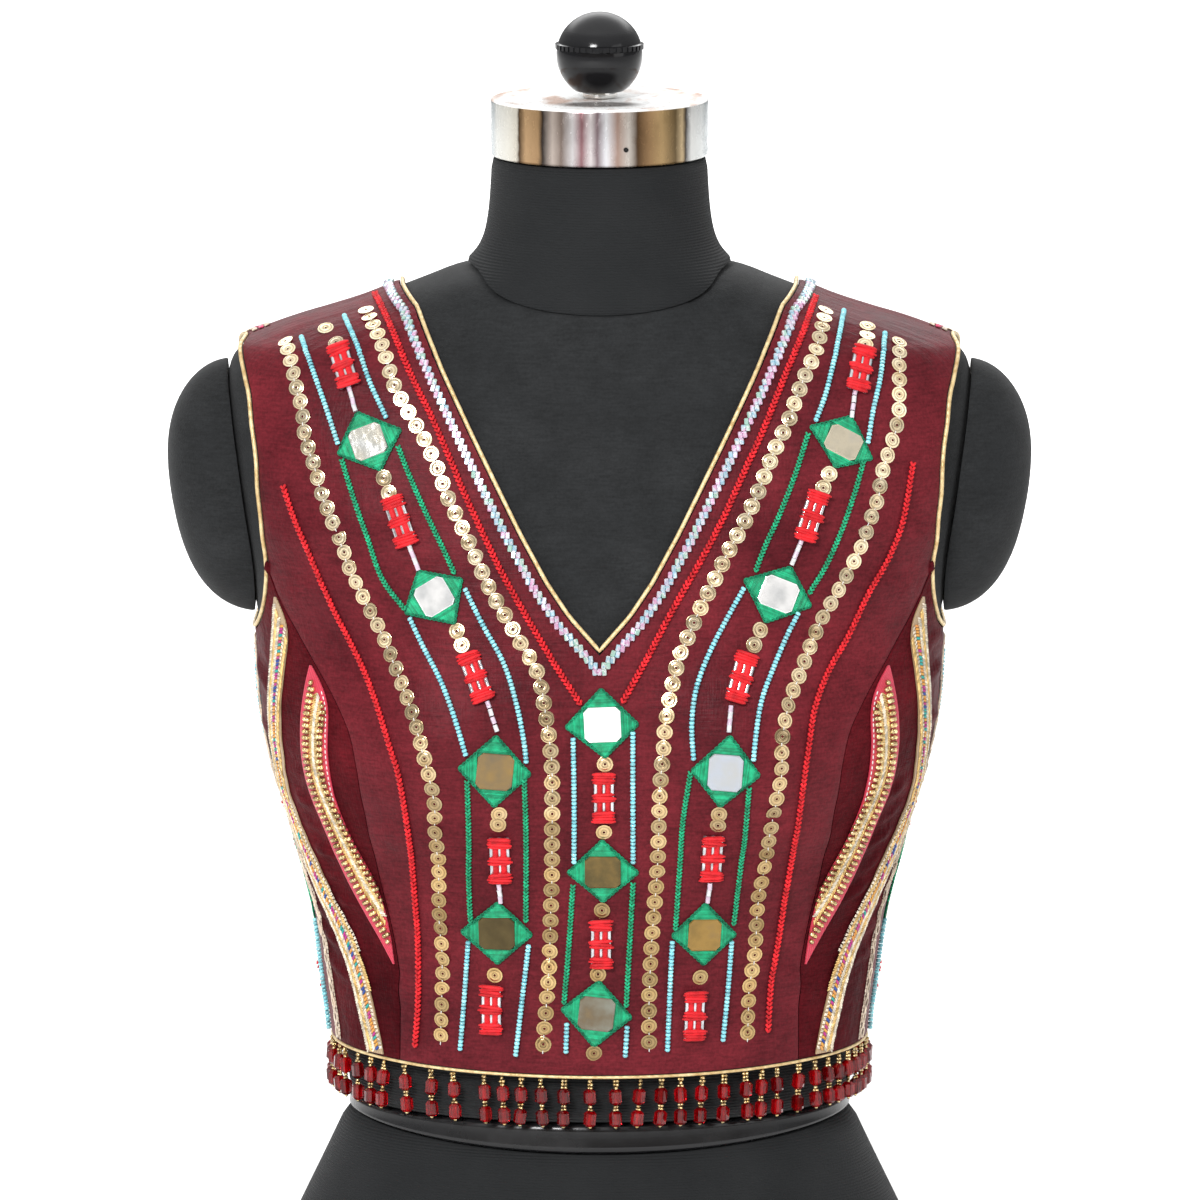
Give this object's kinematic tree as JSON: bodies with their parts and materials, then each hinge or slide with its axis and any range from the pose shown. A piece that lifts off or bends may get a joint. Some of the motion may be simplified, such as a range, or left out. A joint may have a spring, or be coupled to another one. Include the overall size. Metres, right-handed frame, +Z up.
{
  "type": "choli blouse on limbless dress form",
  "caption": "Sleeveless fitted choli blouse with V neck, mirror and bead embroidery, lace ribbons and bead fringe, worn on a black limbless dress form with a metal neck cap.",
  "frame": {"origin": "middle of the dress form's flat base, on the surface it stands on", "axes": "+Z up, -Y towards the blouse's front, +X to the right as seen from the front"},
  "size_m": [0.4106, 0.2354, 0.6715],
  "materials": {
    "form_knit": "matte black ribbed knit stretched over the form",
    "form_band": "smooth semi-gloss black band",
    "form_board": "black painted board",
    "chrome": "polished, finely scratched",
    "black_plastic": "glossy black",
    "maroon_cloth": "plain woven silk-like cloth with a soft sheen",
    "tan_piping": "tan-gold corded piping",
    "bright_braid": "cream and gold zigzag braid with coloured threads",
    "pink_gold_braid": "hot pink braid with gold rows",
    "cream_lace": "cream chain lace",
    "green_mirror": "green satin stitch round a small mirror",
    "red_beads": "faceted red glass beads and gold seed beads"
  },
  "bodies": {
    "root": {"form_torso": "form_knit", "form_neck": "form_knit", "form_hips": "form_knit", "form_arm_cap_left": "form_knit", "form_arm_cap_right": "form_knit", "form_waist_band": "form_band", "form_base_board": "form_board", "form_neck_cap": "chrome", "form_knob_stem": "chrome", "form_knob": "black_plastic", "front_panel": "maroon_cloth", "side_front_left": "maroon_cloth", "side_front_right": "maroon_cloth", "back_panel_left": "maroon_cloth", "back_panel_right": "maroon_cloth", "neck_piping": "tan_piping", "armhole_piping_left": "tan_piping", "armhole_piping_right": "tan_piping", "hem_piping": "tan_piping", "bright_lace_left": "bright_braid", "bright_lace_right": "bright_braid", "pink_lace_left": "pink_gold_braid", "pink_lace_right": "pink_gold_braid", "side_lace_left": "cream_lace", "side_lace_right": "cream_lace", "bead_fringe": "red_beads", "mirror_patch_left_1": "green_mirror", "mirror_patch_left_2": "green_mirror", "mirror_patch_left_3": "green_mirror", "mirror_patch_left_4": "green_mirror", "mirror_patch_centre_1": "green_mirror", "mirror_patch_centre_2": "green_mirror", "mirror_patch_centre_3": "green_mirror", "mirror_patch_right_1": "green_mirror", "mirror_patch_right_2": "green_mirror", "mirror_patch_right_3": "green_mirror", "mirror_patch_right_4": "green_mirror", "mirror_patch_back_left_1": "green_mirror", "mirror_patch_back_left_2": "green_mirror", "mirror_patch_back_left_3": "green_mirror", "mirror_patch_back_left_4": "green_mirror", "mirror_patch_back_left_5": "green_mirror", "mirror_patch_back_left_6": "green_mirror", "mirror_patch_back_right_1": "green_mirror", "mirror_patch_back_right_2": "green_mirror", "mirror_patch_back_right_3": "green_mirror", "mirror_patch_back_right_4": "green_mirror", "mirror_patch_back_right_5": "green_mirror", "mirror_patch_back_right_6": "green_mirror"}
  },
  "joints": []
}
